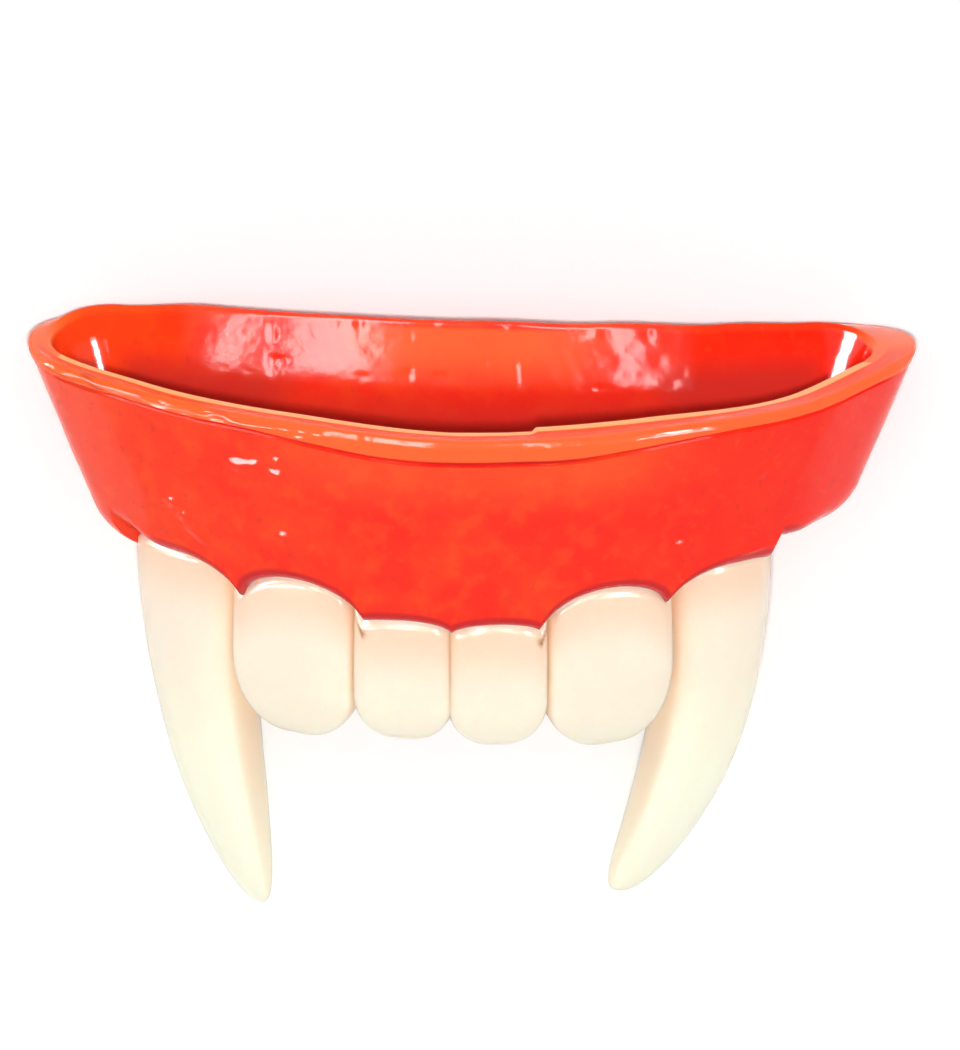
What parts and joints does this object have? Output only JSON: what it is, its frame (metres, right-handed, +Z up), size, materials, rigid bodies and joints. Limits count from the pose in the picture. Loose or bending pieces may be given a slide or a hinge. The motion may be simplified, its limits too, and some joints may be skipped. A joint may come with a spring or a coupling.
{
  "type": "vampire fang denture",
  "caption": "Slip-on upper denture of soft rubber: an arched gum trough, open along its top, with small front teeth and long curved fangs along its lower edge.",
  "frame": {"origin": "on the table, below the middle of the denture's bounding box as it lies on its back", "axes": "+X along the trough to the wearer's left, which is the right of a front view; +Y the way the trough opens, tilted up by 14 degrees; +Z up from the table, the way the front of the teeth faces"},
  "size_m": [0.0638, 0.0448, 0.0214],
  "materials": {
    "gum": "glossy soft rubber, orange-red",
    "teeth": "smooth ivory, waxy gloss"
  },
  "bodies": {
    "root": {"gum": "gum", "centre_tooth_left": "teeth", "centre_tooth_right": "teeth", "side_tooth_left": "teeth", "side_tooth_right": "teeth", "fang_left": "teeth", "fang_right": "teeth"}
  },
  "joints": []
}
